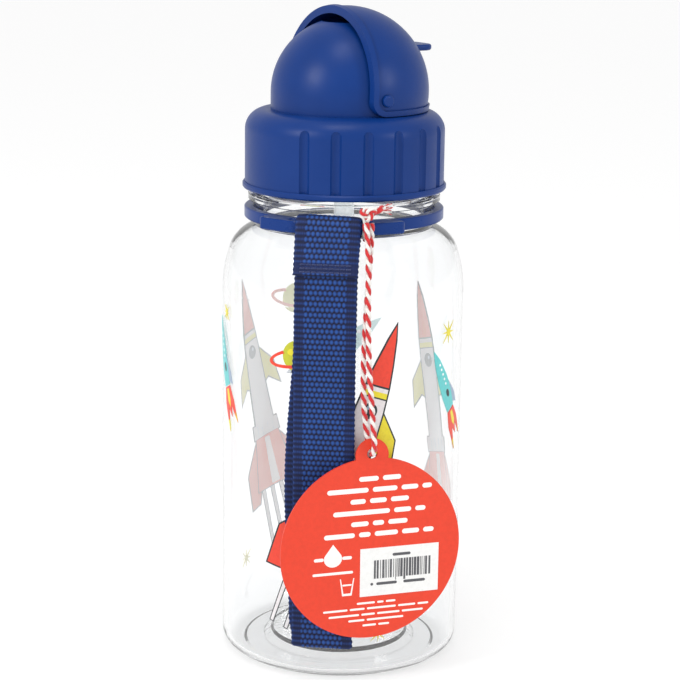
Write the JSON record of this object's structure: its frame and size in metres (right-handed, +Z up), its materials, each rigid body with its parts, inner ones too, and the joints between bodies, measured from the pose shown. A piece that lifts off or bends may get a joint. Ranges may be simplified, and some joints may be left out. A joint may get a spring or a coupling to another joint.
{
  "type": "kids water bottle",
  "caption": "Clear half-litre bottle with screw lid, turning hood over a flip spout, straw, neck collar with webbing strap, and a hang tag.",
  "frame": {"origin": "on the bottle's axis, at the level of the foot ring that it stands on", "axes": "+Z up along the bottle's axis, +X the way the folded spout and the hood's front point, Y along the hood's pins"},
  "size_m": [0.0776, 0.0824, 0.1974],
  "materials": {
    "clear_tritan": "clear, glossy",
    "blue_plastic": "semi-gloss moulded",
    "strap_ring": "semi-gloss moulded",
    "webbing": "woven nylon webbing",
    "thread": "polyester thread",
    "tag_card": "coated card, satin",
    "label_paper": "paper sticker",
    "twine": "twisted cotton, red and white",
    "silicone": "translucent silicone",
    "inner_plastic": "natural polypropylene",
    "straw_plastic": "translucent polyethylene",
    "pin_plastic": "semi-gloss moulded"
  },
  "bodies": {
    "bottle": {"bottle_body": "clear_tritan"},
    "collar": {"strap_collar": "strap_ring", "twine_knot": "twine"},
    "strap": {"carry_strap": "webbing", "strap_stitching": "thread", "tag_twine": "twine"},
    "tag": {"hang_tag": "tag_card", "tag_label": "label_paper"},
    "seal_ring": {"lid_gasket": "silicone"},
    "lid": {"screw_cap": "blue_plastic", "lid_dome": "blue_plastic", "hood_pin_left": "pin_plastic", "hood_pin_right": "pin_plastic", "spout_cradle": "inner_plastic", "spout_seal": "silicone", "spout_pivot_left": "pin_plastic", "spout_pivot_right": "pin_plastic", "drinking_straw": "straw_plastic", "vent_valve": "silicone"},
    "hood": {"hood": "blue_plastic"},
    "spout": {"spout": "inner_plastic", "spout_mouthpiece": "silicone"}
  },
  "joints": [
    {"name": "collar_turn", "type": "hinge", "parent": "bottle", "child": "collar", "pos_m": [0, 0, 0.136], "axis": [0, 0, 1], "continuous": true},
    {"name": "strap_swing", "type": "hinge", "parent": "collar", "child": "strap", "pos_m": [-0.0207, -0.02381, 0.13605], "axis": [-0.7547, 0.6561, 0], "range_deg": [0, 90], "deforming": ["tag_twine"]},
    {"name": "tag_swing", "type": "hinge", "parent": "strap", "child": "tag", "pos_m": [-0.01456, -0.0383, 0.0717], "axis": [-0.9636, 0.2672, 0], "range_deg": [0, 60]},
    {"name": "lid_lift", "type": "slide", "parent": "bottle", "child": "seal_ring", "axis": [0, 0, 1], "range_m": [0, 0.00563]},
    {"name": "lid_turn", "type": "hinge", "parent": "seal_ring", "child": "lid", "pos_m": [0, 0, 0.155], "axis": [0, 0, 1], "range_deg": [0, 450]},
    {"name": "hood_turn", "type": "hinge", "parent": "lid", "child": "hood", "pos_m": [-0.0019, 0, 0.1714], "axis": [0, -1, 0], "range_deg": [0, 90]},
    {"name": "spout_flip", "type": "hinge", "parent": "lid", "child": "spout", "pos_m": [0, 0, 0.1724], "axis": [0, -1, 0], "range_deg": [0, 70.1]}
  ],
  "couplings": [
    {"joint": "lid_lift", "follows": "lid_turn", "m_per_rad": 0.0007162},
    {"joint": "spout_flip", "follows": "hood_turn", "ratio": 0.77778}
  ]
}
